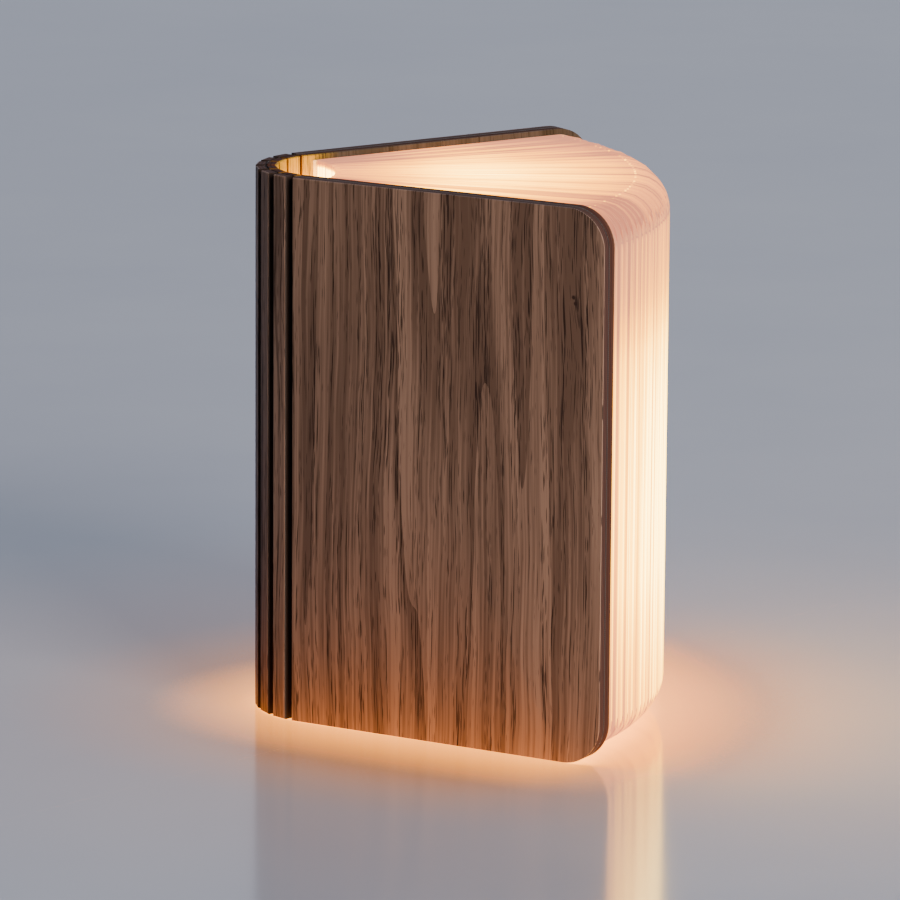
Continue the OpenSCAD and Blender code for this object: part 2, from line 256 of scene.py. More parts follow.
# Parts whose colour mottles between two shades over a fine relief of the same pattern. The
# numbers are the pattern's cells per metre, its layers of detail, and the relief's height
for name, nodes, dark, light, scale, detail, relief, sockets in (
    # Moulded ABS: satin white, with the fine even grain of a spark-eroded mould
    ("moulded_abs", ("core_rail", "core_top_cap", "core_bottom_cap"),
     "#E4E0D6", "#F0ECE3", 6000, 2, 0.02 * MM, {"Roughness": 0.45, "IOR": 1.53}),
    # Aluminium-laminate pouch: dull silver with shallow creases
    ("aluminium_pouch", ("battery_cell",),
     "#A9B1B8", "#C3CAD0", 260, 3, 0.15 * MM, {"Roughness": 0.42, "Metallic": 1.0}),
    # Moulded epoxy resin: black and half matt, as on any chip
    ("epoxy_resin", ("charge_chip", "magnet_sensor"),
     "#17171A", "#232327", 1400, 2, 0.01 * MM, {"Roughness": 0.5}),
    # Nickel-plated steel, stamped and bright
    ("plated_steel", ("charging_socket",),
     "#B4B8BC", "#CDD0D3", 1400, 2, 0.01 * MM, {"Roughness": 0.28, "Metallic": 1.0}),
    # PVC insulation, drawn smooth over the leads
    ("pvc_insulation", ("battery_leads", "led_leads"),
     "#9E1F19", "#B92B22", 1400, 2, 0.01 * MM, {"Roughness": 0.5}),
    # Nickel plate on sintered magnets: bright, a little yellow
    ("nickel_plate", ("front_cover_magnets", "back_cover_magnets", "trigger_magnet"),
     "#B9B7B0", "#CFCDC6", 1400, 2, 0.01 * MM, {"Roughness": 0.22, "Metallic": 1.0}),
):
    finish, tree, shader = new_finish(name, sockets)
    place = add_node(tree, "ShaderNodeTexCoord").outputs["Object"]
    mottle = add_node(tree, "ShaderNodeTexNoise",
                      {"Vector": place, "Scale": scale, "Detail": detail})
    tint = add_node(tree, "ShaderNodeValToRGB", {"Fac": mottle.outputs["Fac"]})
    set_stops(tint, [(0.3, dark), (0.7, light)])
    bump = add_node(tree, "ShaderNodeBump", {"Height": mottle.outputs["Fac"], "Distance": relief})
    feed(shader, {"Base Color": tint, "Normal": bump})
    for node in nodes:
        dress(node, finish)

# Frosted polycarbonate: its light from inside painted as emission, a little brighter in front of
# each chip
frosted, tree, shader = new_finish(
    "frosted_polycarbonate", {"Roughness": 0.6, "IOR": 1.58, "Base Color": colour("#FBF5EA")})
place = add_node(tree, "ShaderNodeTexCoord").outputs["Object"]
height = add_node(tree, "ShaderNodeSeparateXYZ", {0: place}).outputs["Z"]
step = add_node(tree, "ShaderNodeMath", {0: height, 1: first_led}, operation="SUBTRACT")
turn = add_node(tree, "ShaderNodeMath", {0: step, 1: 2 * pi / led_pitch}, operation="MULTIPLY")
wave = add_node(tree, "ShaderNodeMath", {0: turn}, operation="COSINE")
glow = add_node(tree, "ShaderNodeMapRange",
                {"Value": wave, 1: -1.0, 2: 1.0, 3: BETWEEN_CHIPS, 4: 1.0})
tint = add_node(tree, "ShaderNodeMix",
                {0: glow, 6: colour(CORE_GLOW[0]), 7: colour(CORE_GLOW[1])}, data_type="RGBA")
feed(shader, {"Emission Color": tint.outputs[2], "Emission Strength": CORE_GLOW_STRENGTH})
dress("core_diffuser", frosted)

# Glass-epoxy circuit board: green or white solder mask over faint square tracks, 1.1 mm apart
for name, base, track, nodes in (
    ("green_solder_mask", "#1C5537", "#2A7049", ("control_board",)),
    ("white_solder_mask", "#ECEBE4", "#DDDBD0", ("front_led_board", "back_led_board")),
):
    mask, tree, shader = new_finish(name, {"Roughness": 0.3, "IOR": 1.5})
    place = add_node(tree, "ShaderNodeTexCoord").outputs["Object"]
    cells = add_node(tree, "ShaderNodeTexVoronoi", {"Vector": place, "Scale": 900.0},
                     distance="CHEBYCHEV", feature="F1")
    line = add_node(tree, "ShaderNodeMapRange",
                    {"Value": cells.outputs["Distance"], 1: 0.3, 2: 0.36})
    tint = add_node(tree, "ShaderNodeMix", {0: line, 6: colour(base), 7: colour(track)},
                    data_type="RGBA")
    bump = add_node(tree, "ShaderNodeBump", {"Height": line, "Distance": 0.03 * MM})
    feed(shader, {"Base Color": tint.outputs[2], "Normal": bump})
    for node in nodes:
        dress(node, mask)

# Light-emitting chip: a warm phosphor in 0.4 mm grains, which outshines all that is round it
phosphor, tree, shader = new_finish(
    "led_phosphor", {"Roughness": 0.4, "Base Color": colour("#FFD64A")})
place = add_node(tree, "ShaderNodeTexCoord").outputs["Object"]
grains = add_node(tree, "ShaderNodeTexNoise", {"Vector": place, "Scale": 2500.0})
tint = add_node(tree, "ShaderNodeValToRGB", {"Fac": grains.outputs["Fac"]})
set_stops(tint, [(0.3, LED_GLOW[0]), (0.7, LED_GLOW[1])])
feed(shader, {"Emission Color": tint, "Emission Strength": LED_GLOW_STRENGTH})
for node in ("front_leds", "back_leds"):
    dress(node, phosphor)


# ---- Hinge cloth ----
# A dark woven cloth laminated in the middle of the boards. It is bare only in
# the saw cuts, where it bends, so each hinge line has a strip of its own.
FRONT, BACK = -1, 1
HINGE_JOINTS = {
    FRONT: ("book_opening", "slat_3_to_slat_2", "slat_2_to_slat_1", "slat_1_to_front_cover"),
    BACK: ("core_to_slat_4", "slat_4_to_slat_5", "slat_5_to_slat_6", "slat_6_to_back_cover"),
}
COVER = 3                        # the hinge line, counted from the middle, that carries a cover
KERF = 1.2 * MM
PITCH = 5.2 * MM
CLOTH_T = 0.3 * MM
HEIGHT = 122 * MM
CLOTH_SHORT = 0.15 * MM          # how far the cloth's cut edges stay inside the boards'
THREAD_PITCH = 0.42 * MM         # coarser than the real cloth's, so that its ribs show
SEAM = 0.01 * MM                 # points closer than this are one point
WAVE_RADIANS = 20                # how far a wave texture of scale 1 turns in a metre

joints = {joint["name"]: joint for joint in frame["joints"]}
hinge_places = {
    side: [Vector((*joints[name]["pos_m"][:2], 0)) for name in names]
    for side, names in HINGE_JOINTS.items()
}
bodies = {
    side: [joints[names[0]]["parent"]] + [joints[name]["child"] for name in names]
    for side, names in HINGE_JOINTS.items()
}


def heading(side, n):
    """Angle of the board that starts at hinge line n, counted from the middle."""
    if n < COVER:
        step = hinge_places[side][n + 1] - hinge_places[side][n]
        return atan2(step.y, step.x)
    return 2 * heading(side, n - 1) - heading(side, n - 2)


def along(side, n):
    """Unit vector along the board that starts at hinge line n."""
    return Vector((cos(heading(side, n)), sin(heading(side, n)), 0))


def new_tree(name, sizes):
    """Starts a Geometry Nodes tree with named inputs, and gives it with its input node."""
    tree = bpy.data.node_groups.new(name, "GeometryNodeTree")
    for size, kind in sizes.items():
        tree.interface.new_socket(size, in_out="INPUT", socket_type="NodeSocket" + kind)
    tree.interface.new_socket("Geometry", in_out="OUTPUT", socket_type="NodeSocketGeometry")
    return tree, add_node(tree, "NodeGroupInput").outputs


def end_tree(tree, geometry, finish):
    """Ends a tree with real geometry in the given finish."""
    real = add_node(tree, "GeometryNodeRealizeInstances", {0: geometry})
    painted = add_node(tree, "GeometryNodeSetMaterial", {0: real, "Material": finish})
    add_node(tree, "NodeGroupOutput", {0: painted})


def close_sheet(tree, sheet, walls, seam):
    """Closes a thickened sheet with the sheet itself, turned over."""
    other = add_node(tree, "GeometryNodeFlipFaces", {0: sheet})
    both = add_node(tree, "GeometryNodeJoinGeometry", {0: walls})
    feed(both, {0: other})
    closed = add_node(tree, "GeometryNodeMergeByDistance", {0: both, "Distance": seam})
    return closed


def grow(name, tree, bevel=0.0, **sizes):
    """Makes a piece from a tree and its sizes, as a plain mesh in its place."""
    seed = add_object(name + "_seed", bpy.data.meshes.new(name + "_seed"))
    modifier = seed.modifiers.new(tree.name, "NODES")
    modifier.node_group = tree
    for socket in tree.interface.items_tree:
        if socket.in_out == "INPUT":
            modifier[socket.identifier] = sizes[socket.name.lower().replace(" ", "_")]
    if bevel:
        ease = seed.modifiers.new("arris", "BEVEL")
        ease.limit_method = "WEIGHT"
        ease.width = bevel
        ease.segments = 3
    bpy.context.view_layer.update()
    depsgraph = bpy.context.evaluated_depsgraph_get()
    mesh = bpy.data.meshes.new_from_object(seed.evaluated_get(depsgraph))
    bpy.data.objects.remove(seed)
    mesh.name = name
    return add_object(name, mesh)


# Cotton book cloth: dark brown, with a plain weave that shows as fine ribs
book_cloth, tree, shader = new_finish(
    "cotton_book_cloth", {"Roughness": 0.9, "Sheen Weight": 0.25, "Sheen Roughness": 0.5})
place = add_node(tree, "ShaderNodeTexCoord").outputs["Object"]
ribs = [
    add_node(tree, "ShaderNodeTexWave",
             {"Vector": place, "Scale": 2 * pi / (WAVE_RADIANS * THREAD_PITCH)},
             bands_direction=direction).outputs["Fac"]
    for direction in ("X", "Z")
]
weave = add_node(tree, "ShaderNodeMath", {0: ribs[0], 1: ribs[1]}, operation="MULTIPLY")
tint = add_node(tree, "ShaderNodeValToRGB", {"Fac": weave})
set_stops(tint, [(0.0, "#24170F"), (0.8, "#4A3322")])
bump = add_node(tree, "ShaderNodeBump", {"Height": weave, "Distance": 0.08 * MM})
feed(shader, {"Base Color": tint, "Normal": bump})

# The strip: a curve through the hinge line, raised to the lamp's height and given its thickness
cloth_tree, size = new_tree("cloth_strip", {
    "Start": "Vector", "Near start": "Vector", "Near end": "Vector", "End": "Vector",
    "Height": "Float", "Thickness": "Float", "Cloth": "Material",
})
line = add_node(cloth_tree, "GeometryNodeCurvePrimitiveBezierSegment",
                {"Start": size["Start"], "Start Handle": size["Near start"],
                 "End Handle": size["Near end"], "End": size["End"], "Resolution": 12},
                mode="POSITION")
edge = add_node(cloth_tree, "GeometryNodeCurveToMesh", {0: line})
rise = add_node(cloth_tree, "ShaderNodeCombineXYZ", {2: size["Height"]})
face = add_node(cloth_tree, "GeometryNodeExtrudeMesh", {0: edge, "Offset": rise}, mode="EDGES")
shell = add_node(cloth_tree, "GeometryNodeExtrudeMesh",
                 {0: face, "Offset Scale": size["Thickness"], "Individual": False})
closed = close_sheet(cloth_tree, face, shell, SEAM)
end_tree(cloth_tree, closed, size["Cloth"])

for side, n in [(side, n) for side in (FRONT, BACK) for n in range(COVER + 1)]:
    hinge = hinge_places[side][n] + Vector((0, 0, CLOTH_SHORT))
    after = along(side, n)
    before = along(side, n - 1) if n else Vector((0, side, 0))
    reach = KERF / 2 if n == COVER else PITCH / 2
    out = Vector((-after.y, after.x, 0)) * CLOTH_T / 2
    start = hinge - before * (PITCH / 2 if n else 0) + out
    near = hinge - before * (KERF / 2 if n else 0) + out
    strip = grow(
        f"hinge_cloth_{'front' if side == FRONT else 'back'}_{n}", cloth_tree,
        start=start, near_start=near, near_end=hinge + after * KERF / 2 + out,
        end=hinge + after * reach + out, height=HEIGHT - 2 * CLOTH_SHORT, thickness=CLOTH_T,
        cloth=book_cloth,
    )
    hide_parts("hinge_cloth")
    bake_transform(strip)
for side in ("front", "back"):
    dress(side + "_cover_cloth", book_cloth)


# ---- Walnut boards ----
# Covers and slats are sawn from one laminated board: a walnut face, dark plies
# and a pale inner face. The grain runs up the lamp, straight on from board to
# board, so its pattern is read from distances along the unrolled board.
BOARD_T = 4.7 * MM
FACE_PLY = 0.34 * MM
SWAY = 1.2 * MM                  # how far the grain wanders to each side
FIGURE = (                       # each pattern's waves per metre, where they start, and its detail
    ((130, 0, 5), (3.1, 0, 0), 2.0),
    ((46, 0, 1.8), (1.7, 0, 4.4), 1.5),
    ((1700, 0, 22), (0, 0, 5.2), 3.0),
    ((420, 0, 8), (5.9, 0, 2.6), 3.0),
)
RINGS = 10                       # how many growth rings the ring pattern is cut into
PORES = (                        # cells per metre, their start, and the sizes of a pore in a cell
    ((2600, 0, 46), (7.7, 0, 1.3), 0.14, 0.4),
    ((3600, 0, 150), (2.3, 0, 8.1), 0.1, 0.4),
)
PORE_DEPTH = 0.05 * MM
PIN_KNOT = 0.6 * MM
ARRIS_WEAR_AND_HIGHLIGHT = (0.06 * MM, 0.2 * MM, 0.2)    # where the arris starts to pale with wear and painted highlight, is palest, and how much
CUT_SHADE_AND_GLOW_REACH = 0.14 * MM              # how far past a saw cut's wall it is painted: shade outside, amber glow inside
SPINE_GLOW_FROM, SPINE_GLOW_TO = 18 * MM, 26 * MM    # where the inner veneer's painted glow from the core fades out, from mid spine
OILED, SAWN = 0.46, 0.85         # roughness of the face, and of pores and plies


def lay_grain(piece, side, n):
    """Stores each point's distance along the unrolled board, its depth and its height."""
    start = hinge_places[side][n]
    ahead = along(side, n)
    out = side * Vector((-ahead.y, ahead.x, 0))
    grain = piece.data.attributes.new("grain", "FLOAT_VECTOR", "POINT")
    for vertex, place in zip(piece.data.vertices, grain.data):
        from_hinge = vertex.co - start
        place.vector = (
            side * (n * PITCH + from_hinge.dot(ahead)),
            BOARD_T / 2 - from_hinge.dot(out),
            vertex.co.z,
        )


def sawn_board(name, light, dark, pore, cut_shade_and_glow, face, plies, polish, pin_knots=(), spine_glow=None):
    """Finish of a board: a grained veneer down from the face's depth, and plies at the edges."""
    finish, tree, shader = new_finish(name, {"IOR": 1.5, "Specular IOR Level": polish})
    grain = add_node(tree, "ShaderNodeAttribute", attribute_name="grain").outputs["Vector"]
    across, depth, _ = add_node(tree, "ShaderNodeSeparateXYZ", {0: grain}).outputs

    # The grain wanders sideways over a few centimetres
    slow = add_node(tree, "ShaderNodeMapping", {0: grain, "Scale": (30, 0, 14)})
    sway = add_node(tree, "ShaderNodeTexNoise", {"Vector": slow, "Scale": 1.0, "Detail": 2.0})
    shift = add_node(tree, "ShaderNodeMapRange",
                     {"Value": sway.outputs["Fac"], 1: 0.3, 2: 0.7, 3: -SWAY, 4: SWAY})
    offset = add_node(tree, "ShaderNodeCombineXYZ", {0: shift})
    wandering = add_node(tree, "ShaderNodeVectorMath", {0: grain, 1: offset})

    # Colour bands 8 mm wide, growth rings 3 to 6 mm apart, fibres of 0.6 mm, and the open pores:
    # dashes up to 0.3 by 17 mm and 0.2 by 5 mm, which are larger where they crowd together
    bands, rings, fibres, crowd = [
        add_node(tree, "ShaderNodeTexNoise", {
            "Vector": add_node(tree, "ShaderNodeMapping",
                               {0: wandering, "Scale": scale, "Location": start}),
            "Scale": 1.0, "Detail": detail}).outputs["Fac"]
        for scale, start, detail in FIGURE
    ]

    # Each ring darkens slowly to its late wood, and ends at a sharp line
    turns = add_node(tree, "ShaderNodeMath", {0: rings, 1: RINGS}, operation="MULTIPLY")
    turn = add_node(tree, "ShaderNodeMath", {0: turns}, operation="FRACT")
    late = add_node(tree, "ShaderNodeMapRange", {"Value": turn, 1: 0.6, 2: 1.0},
                    interpolation_type="SMOOTHSTEP")
    tone = 0.0
    for pattern, weight in ((fibres, 0.7), (bands, 0.6), (late, -0.2)):
        tone = add_node(tree, "ShaderNodeMath", {0: pattern, 1: weight, 2: tone},
                        operation="MULTIPLY_ADD")
    skin = add_node(tree, "ShaderNodeValToRGB", {"Fac": tone})
    set_stops(skin, [(0.5, dark), (0.78, light)])
    crowding = add_node(tree, "ShaderNodeMath", {0: late, 1: 0.12, 2: crowd},
                        operation="MULTIPLY_ADD")
    holes = []
    for scale, start, fewest, most in PORES:
        cells = add_node(tree, "ShaderNodeMapping",
                         {0: wandering, "Scale": scale, "Location": start})
        away = add_node(tree, "ShaderNodeTexVoronoi", {"Vector": cells, "Scale": 1.0})
        size = add_node(tree, "ShaderNodeMapRange",
                        {"Value": crowding, 1: 0.36, 2: 0.7, 3: fewest, 4: most})
        edge = add_node(tree, "ShaderNodeMath", {0: size, 1: away.outputs["Distance"]},
                        operation="SUBTRACT")
        holes.append(add_node(tree, "ShaderNodeMapRange", {"Value": edge, 1: 0.0, 2: 0.1}))
    for along_board, height in pin_knots:
        away = add_node(tree, "ShaderNodeVectorMath", {0: grain, 1: (along_board, 0, height)},
                        operation="DISTANCE")
        holes.append(add_node(tree, "ShaderNodeMapRange", {
            "Value": away.outputs["Value"], 1: PIN_KNOT / 2, 2: PIN_KNOT, 3: 1.0, 4: 0.0}))
    pits = 0.0
    for hole in holes:
        pits = add_node(tree, "ShaderNodeMath", {0: pits, 1: hole}, operation="MAXIMUM")

    from_spine = add_node(tree, "ShaderNodeMath", {0: across}, operation="ABSOLUTE")
    # Towards mid spine, where the inner veneer faces the core, it gets a painted amber glow
    if spine_glow:
        near = add_node(tree, "ShaderNodeMapRange",
                        {"Value": from_spine, 1: SPINE_GLOW_FROM, 2: SPINE_GLOW_TO, 3: 1.0, 4: 0.0})
        skin = add_node(tree, "ShaderNodeMix", {0: near, 6: skin, 7: colour(spine_glow)},
                        data_type="RGBA").outputs[2]

    # The sanded arris lies lighter, partly as wear and partly as a painted highlight, and behind
    # it the plies show as lines
    sunk = add_node(tree, "ShaderNodeMath", {0: depth, 1: face}, operation="SUBTRACT")
    sunk = add_node(tree, "ShaderNodeMath", {0: sunk}, operation="ABSOLUTE")
    worn_and_highlit = add_node(tree, "ShaderNodeMapRange",
                    {"Value": sunk, 1: ARRIS_WEAR_AND_HIGHLIGHT[0], 2: ARRIS_WEAR_AND_HIGHLIGHT[1], 3: 0.0, 4: ARRIS_WEAR_AND_HIGHLIGHT[2]})
    under = add_node(tree, "ShaderNodeMath", {0: sunk, 1: FACE_PLY}, operation="GREATER_THAN")
    share = add_node(tree, "ShaderNodeMath", {0: depth, 1: BOARD_T}, operation="DIVIDE")
    layers = add_node(tree, "ShaderNodeValToRGB", {"Fac": share})
    set_stops(layers, plies)
    # Each saw cut and a little past its walls is painted: painted shade outside, painted amber
    # glow inside
    in_spine = add_node(tree, "ShaderNodeMath", {0: from_spine, 1: (COVER + 0.5) * PITCH},
                        operation="MINIMUM")
    from_cut = add_node(tree, "ShaderNodeMath", {0: in_spine, 1: PITCH / 2}, operation="PINGPONG")
    cut_shade_and_glow_mask = add_node(tree, "ShaderNodeMath", {0: from_cut, 1: KERF / 2 + CUT_SHADE_AND_GLOW_REACH},
                     operation="LESS_THAN")
    for amount, paint in (
        (pits, colour(pore)), (worn_and_highlit, colour(light)), (under, layers),
        (cut_shade_and_glow_mask, colour(cut_shade_and_glow)),
    ):
        skin = add_node(tree, "ShaderNodeMix", {0: amount, 6: skin, 7: paint},
                        data_type="RGBA").outputs[2]

    relief = add_node(tree, "ShaderNodeMath", {0: pits, 1: -1.0, 2: fibres},
                      operation="MULTIPLY_ADD")
    bump = add_node(tree, "ShaderNodeBump",
                    {"Height": relief, "Distance": PORE_DEPTH, "Strength": 0.5})
    coarse = add_node(tree, "ShaderNodeMath", {0: pits, 1: under}, operation="MAXIMUM")
    rough = add_node(tree, "ShaderNodeMapRange", {"Value": coarse, 3: OILED, 4: SAWN})
    feed(shader, {"Base Color": skin, "Roughness": rough, "Normal": bump})
    return finish


# Oiled walnut: warm grey-brown with near-black open pores, two pin knots in the front cover, and
# painted shade in its saw cuts
walnut = sawn_board(
    "oiled_walnut", light="#A88670", dark="#6E5444", pore="#32211A", cut_shade_and_glow="#2E1F17", face=0.0,
    plies=[(0.0, "#5E3F31"), (0.08, "#5E3F31"), (0.11, "#33201B"), (0.2, "#5A3A2F"),
           (0.28, "#33201B"), (0.36, "#5A3A2F"), (0.43, "#2B1A16")],
    pin_knots=[(-86.4 * MM, 102.7 * MM), (-86.9 * MM, 101.4 * MM)],
    polish=0.3,
)

# Sliced veneer inside: pale olive tan, with a painted amber glow where it faces the core and in
# its saw cuts
inner_veneer = sawn_board(
    "inner_veneer", light="#5C5040", dark="#4A402E", pore="#3A3020", cut_shade_and_glow="#7A541C", face=BOARD_T,
    plies=[(0.53, "#2B1A16"), (0.62, "#5A3A2F"), (0.7, "#33201B"), (0.78, "#5A3A2F"),
           (0.86, "#4A2A20"), (0.93, "#74452F")],
    polish=0.1, spine_glow="#AA860A",
)

# The board's two layers: which side of the cloth they lie on, their finish and its slot
LAYERS = (("outer", 1, walnut, "walnut_face"), ("inner", -1, inner_veneer, "board_inside"))


# ---- Spine slats ----
# Six slats, each an outer and an inner strip glued to the cloth. They are what
# the saw leaves between the cuts, with the outer edges sanded off.
ARRIS = 0.3 * MM
MIDDLE_CUT = 0.35 * MM           # more cut away inside the two middle slats, round the core's web

slat_tree, size = new_tree("slat", {
    "From": "Float", "To": "Float", "Joint face": "Float", "Eased face": "Float",
    "Height": "Float", "Heading": "Float", "Hinge line": "Vector", "Wood": "Material",
})
width = add_node(slat_tree, "ShaderNodeMath", {0: size["To"], 1: size["From"]},
                 operation="SUBTRACT")
gap = add_node(slat_tree, "ShaderNodeMath", {0: size["Eased face"], 1: size["Joint face"]},
               operation="SUBTRACT")
thick = add_node(slat_tree, "ShaderNodeMath", {0: gap}, operation="ABSOLUTE")
block = add_node(slat_tree, "ShaderNodeCombineXYZ", {0: width, 1: thick, 2: size["Height"]})
low = add_node(slat_tree, "ShaderNodeCombineXYZ", {0: size["From"], 1: size["Joint face"]})
high = add_node(slat_tree, "ShaderNodeCombineXYZ",
                {0: size["To"], 1: size["Eased face"], 2: size["Height"]})
centre = add_node(slat_tree, "ShaderNodeMix", {0: 0.5, 4: low, 5: high}, data_type="VECTOR")
cube = add_node(slat_tree, "GeometryNodeMeshCube", {"Size": block})
placed = add_node(slat_tree, "GeometryNodeTransform", {0: cube, "Translation": centre.outputs[1]})
across = add_node(slat_tree, "ShaderNodeSeparateXYZ",
                  {0: add_node(slat_tree, "GeometryNodeInputPosition")}).outputs["Y"]
outside = add_node(slat_tree, "ShaderNodeMath", {0: across, 1: size["Eased face"], 2: SEAM},
                   operation="COMPARE")
eased = add_node(slat_tree, "GeometryNodeStoreNamedAttribute",
                 {0: placed, "Name": "bevel_weight_edge", "Value": outside},
                 domain="EDGE", data_type="FLOAT")
turn = add_node(slat_tree, "ShaderNodeCombineXYZ", {2: size["Heading"]})
turned = add_node(slat_tree, "GeometryNodeTransform",
                  {0: eased, "Translation": size["Hinge line"], "Rotation": turn})
end_tree(slat_tree, turned, size["Wood"])

for side, n in [(side, n) for side in (FRONT, BACK) for n in range(COVER)]:
    number = COVER - n if side == FRONT else COVER + 1 + n
    for layer, sign, wood, slot in LAYERS:
        cut = MIDDLE_CUT if layer == "inner" and n == 0 else 0
        slat = grow(
            f"slat_{number}_{layer}_wood", slat_tree, bevel=ARRIS,
            **{"from": KERF / 2 + cut, "to": PITCH - KERF / 2},
            joint_face=side * sign * CLOTH_T / 2, eased_face=side * sign * BOARD_T / 2,
            height=HEIGHT, heading=heading(side, n), hinge_line=hinge_places[side][n], wood=wood,
        )
        lay_grain(slat, side, n)
        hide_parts(f"slat_{number}_{layer}")
        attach(slat, bodies[side][n + 1])


# ---- Covers ----
# Each cover is the same laminated board as the slats, cut with two rounded
# corners at the fore-edge. The outer and inner boards close on the cloth.
COVER_W = 77.5 * MM
CORNER_R = 8.8 * MM
CORNER_STEPS = 14
ARC_MARGIN = 0.5 * MM            # a flat run beside each corner, which its shading doesn't pass


def cover_outline(x0, x1, foot, top, radius):
    """Corners of a cover in its own plane, rounded at x1."""
    arc = [radians(90 * i / CORNER_STEPS) for i in range(CORNER_STEPS + 1)]
    low = [(x1 - radius + radius * sin(a), foot + radius - radius * cos(a)) for a in arc]
    high = [(x1 - radius + radius * cos(a), top - radius + radius * sin(a)) for a in arc]
    before = x1 - radius - ARC_MARGIN
    fore_edge = [(x1, foot + radius + ARC_MARGIN), (x1, top - radius - ARC_MARGIN)]
    return [(x0, foot), (before, foot), *low, *fore_edge, *high, (before, top), (x0, top)]


def cut_board(name, side, joint_face, eased_face, finish):
    """A cover board between two faces, its edges sanded off at the eased face."""
    outline = cover_outline(KERF / 2, KERF / 2 + COVER_W, 0, HEIGHT, CORNER_R)
    board = bmesh.new()
    faces = []
    for y in (joint_face, eased_face):
        faces.append([board.verts.new((x, y, z)) for x, z in outline])
    for ring in faces:
        board.faces.new(ring)
    for i in range(len(outline)):
        j = (i + 1) % len(outline)
        board.faces.new((faces[0][i], faces[0][j], faces[1][j], faces[1][i]))
    rim = [e for e in board.edges if all(abs(v.co.y - eased_face) < ARRIS / 10 for v in e.verts)]
    bmesh.ops.bevel(board, geom=rim, offset=ARRIS, segments=3, profile=0.5, affect="EDGES")
    bmesh.ops.rotate(board, verts=board.verts, cent=(0, 0, 0),
                     matrix=Matrix.Rotation(heading(side, COVER), 3, "Z"))
    bmesh.ops.translate(board, verts=board.verts, vec=hinge_places[side][COVER])
    bmesh.ops.recalc_face_normals(board, faces=board.faces)
    mesh = bpy.data.meshes.new(name)
    board.to_mesh(mesh)
    board.free()
    mesh.materials.append(finish)
    mesh.shade_smooth()
    mesh.set_sharp_from_angle(angle=radians(20))
    return add_object(name, mesh)


for side, body in ((FRONT, "front_cover"), (BACK, "back_cover")):
    for layer, sign, wood, slot in LAYERS:
        cover = cut_board(f"{body}_{layer}_wood", side, side * sign * CLOTH_T / 2,
                          side * sign * BOARD_T / 2, wood)
        lay_grain(cover, side, COVER)
        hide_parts(f"{body}_{layer}")
        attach(cover, body)


# ---- Page block ----
# One strip of matt paper, creased into 42 pleats. Its end sheets are glued to
# the covers, and the lit core stands in front of its inner folds. The paper's
# glow is painted as emission: near white at the core, peach towards the top.
PAGE_INSET = 3.6 * MM
PAGE_DEPTH = 72.2 * MM
PAGE_FOOT = 1.3 * MM
PAGE_BULGE = 1.4 * MM
PAGE_CORNER = 7.3 * MM
PAPER_T = 0.16 * MM
FOLD_DEPTH = 1.5 * MM
INNER_FOLD = 0.5 * MM
UNEVEN = 0.16 * MM               # how far single sheets stand up from the block
UNEVEN_WAVES = 2.2               # how fast that changes, for each pleat
VALLEY_FOOT = 0.5                # half width of a valley's foot, as a share of half a pleat
VALLEY_MOUTH = 0.4               # the same at the fore-edge
GROUP_STEPS = (-7, -5, -3, -1, 0, 1, 3, 5, 7)
PLEATS_PER_STEP = 3
COLUMNS_PER_SHEET, ROWS = 24, 13

half_open = heading(BACK, COVER)
inner_corner = (hinge_places[BACK][COVER]
                + BOARD_T / 2 * Vector((sin(half_open), -cos(half_open), 0)))
fan = Vector((inner_corner.x - inner_corner.y / tan(half_open), 0, 0))
fan_in = inner_corner.y / sin(half_open) + KERF / 2 + PAGE_INSET
fan_step = half_open / GROUP_STEPS[-1]
half_pleat = fan_step / PLEATS_PER_STEP / 2

# Matt paper, its light from behind painted as emission. Its "page" attribute holds the distance
# from the inner fold, the pleat's number and the height, "rim" marks the cut edges, and
# "below_cut" is the depth under them. The painted glow is near white halfway up the sheets and
# peach towards the top, brightest on the cut edges near the core, and painted shade keeps the
# valleys darker
PAPER_GLOW = 16.0
PAPER_GLOW_COLOURS = [
    (0.0, "#40221A"), (0.25, "#683A1A"), (0.5, "#935A00"), (0.75, "#BD871A"), (1.0, "#E2BE60"),
]
LAST_PLEAT = GROUP_STEPS[-1] * PLEATS_PER_STEP
CUT_GLOW = 1.5 * MM              # how far down the sheets their cut edge's painted glow shows
DIE_MARK = 0.22 * MM             # half size of the marks where the cut corner starts

paper, tree, shader = new_finish(
    "lit_paper", {"Roughness": 0.85, "IOR": 1.45, "Base Color": colour("#9C7850")})
page = add_node(tree, "ShaderNodeAttribute", attribute_name="page").outputs["Vector"]
rim = add_node(tree, "ShaderNodeAttribute", attribute_name="rim").outputs["Fac"]
below = add_node(tree, "ShaderNodeAttribute", attribute_name="below_cut").outputs["Fac"]
below = add_node(tree, "ShaderNodeMapRange",
                 {"Value": below, 1: CUT_GLOW / 3, 2: CUT_GLOW, 3: 1.0, 4: 0.0})
cut = add_node(tree, "ShaderNodeMath", {0: rim, 1: below}, operation="MAXIMUM")
reach, number, height = add_node(tree, "ShaderNodeSeparateXYZ", {0: page}).outputs

